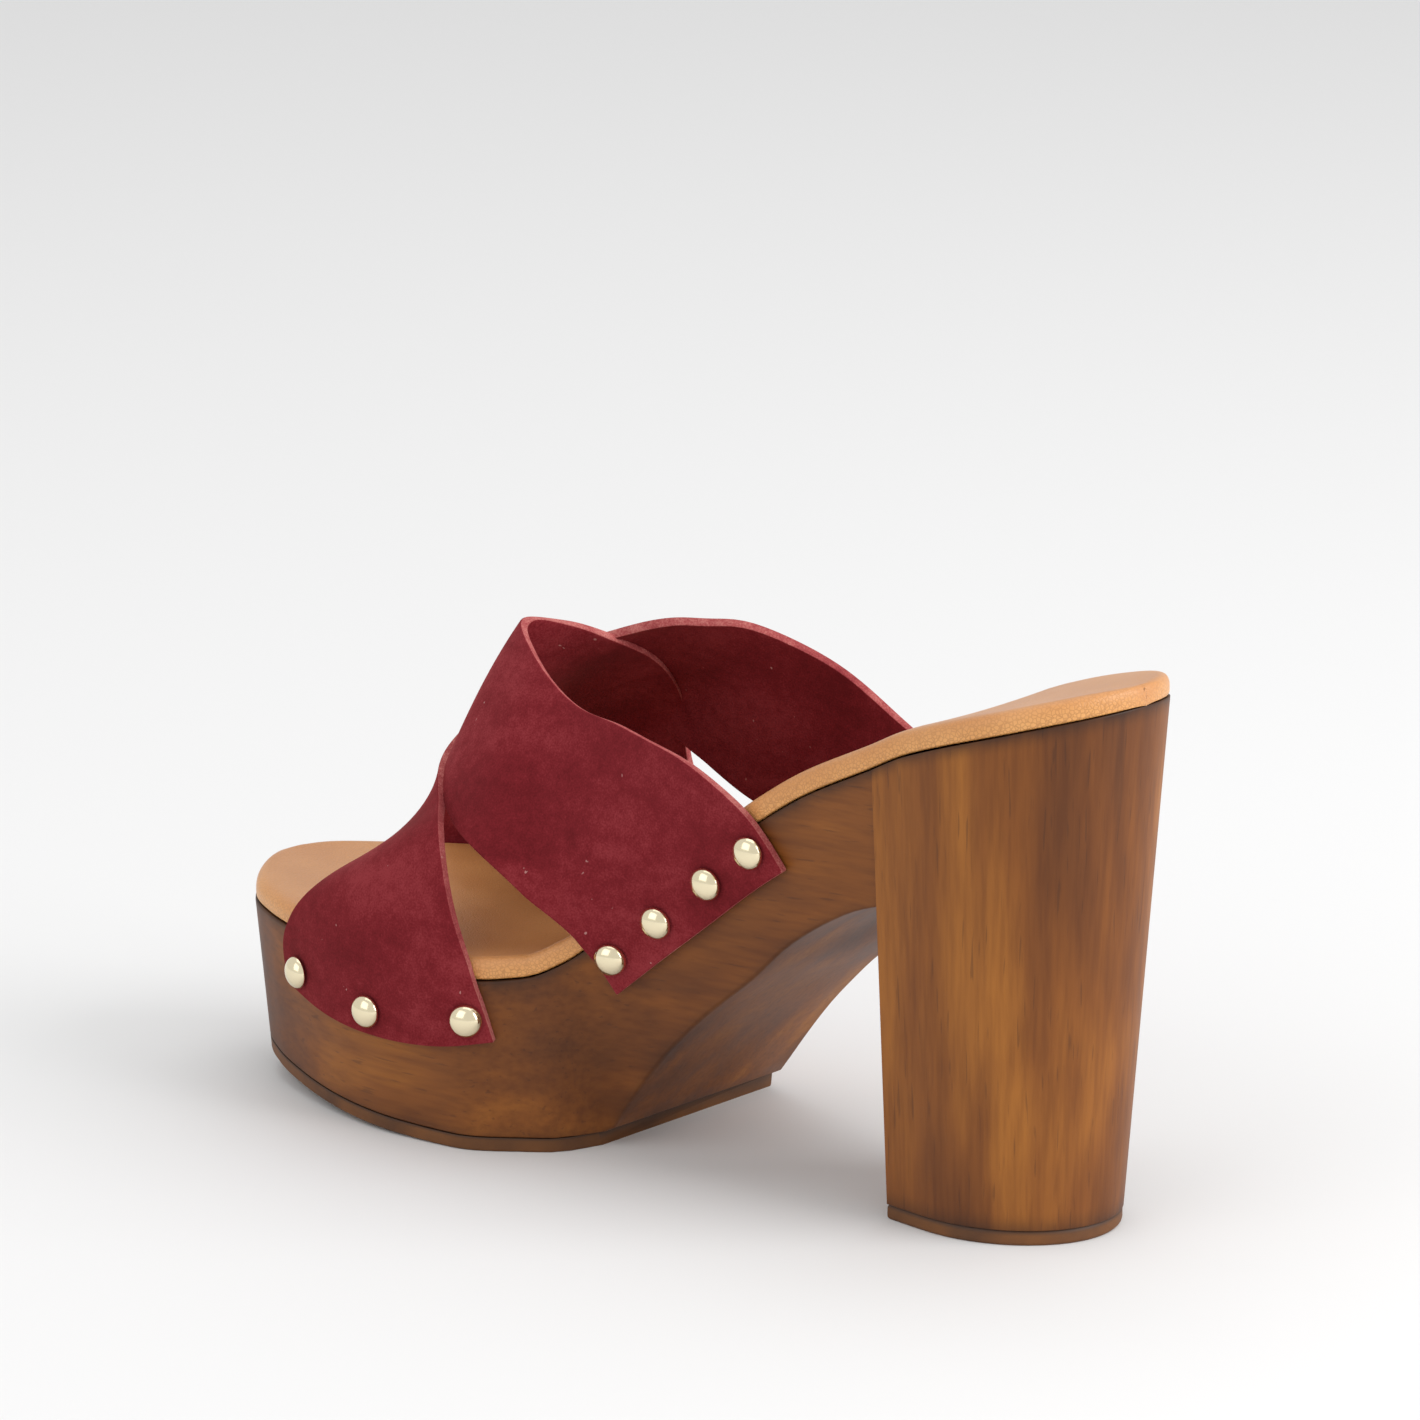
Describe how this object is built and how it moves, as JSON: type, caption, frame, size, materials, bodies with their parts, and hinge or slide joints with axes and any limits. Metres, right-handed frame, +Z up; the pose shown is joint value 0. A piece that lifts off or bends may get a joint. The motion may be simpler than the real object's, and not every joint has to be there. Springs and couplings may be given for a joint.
{
  "type": "heeled mule",
  "caption": "Right-foot platform mule: wooden sole and block heel, tan padded insole, crossed burgundy suede straps with brass studs.",
  "frame": {"origin": "under the middle of the shoe's bounding box, on the floor that it stands on", "axes": "+X from the toe towards the heel, -Y towards the inner (medial) side, +Z up"},
  "size_m": [0.2222, 0.095, 0.1133],
  "materials": {
    "stained_wood": "satin, stained brown, dark at the edges",
    "outsole_rubber": "matt brown",
    "insole_leather": "smooth tan leather with a fine pebble grain",
    "burgundy_suede": "napped suede with paler cut edges",
    "pale_brass": "polished pale gold"
  },
  "bodies": {
    "root": {"sole": "stained_wood", "heel": "stained_wood", "outsole": "outsole_rubber", "heel_top_piece": "outsole_rubber", "insole": "insole_leather", "upper": "burgundy_suede", "stud_inner_rear_1": "pale_brass", "stud_inner_rear_2": "pale_brass", "stud_inner_rear_3": "pale_brass", "stud_inner_rear_4": "pale_brass", "stud_outer_rear_1": "pale_brass", "stud_outer_rear_2": "pale_brass", "stud_outer_rear_3": "pale_brass", "stud_outer_rear_4": "pale_brass", "stud_inner_front_1": "pale_brass", "stud_inner_front_2": "pale_brass", "stud_inner_front_3": "pale_brass", "stud_outer_front_1": "pale_brass", "stud_outer_front_2": "pale_brass", "stud_outer_front_3": "pale_brass"}
  },
  "joints": []
}
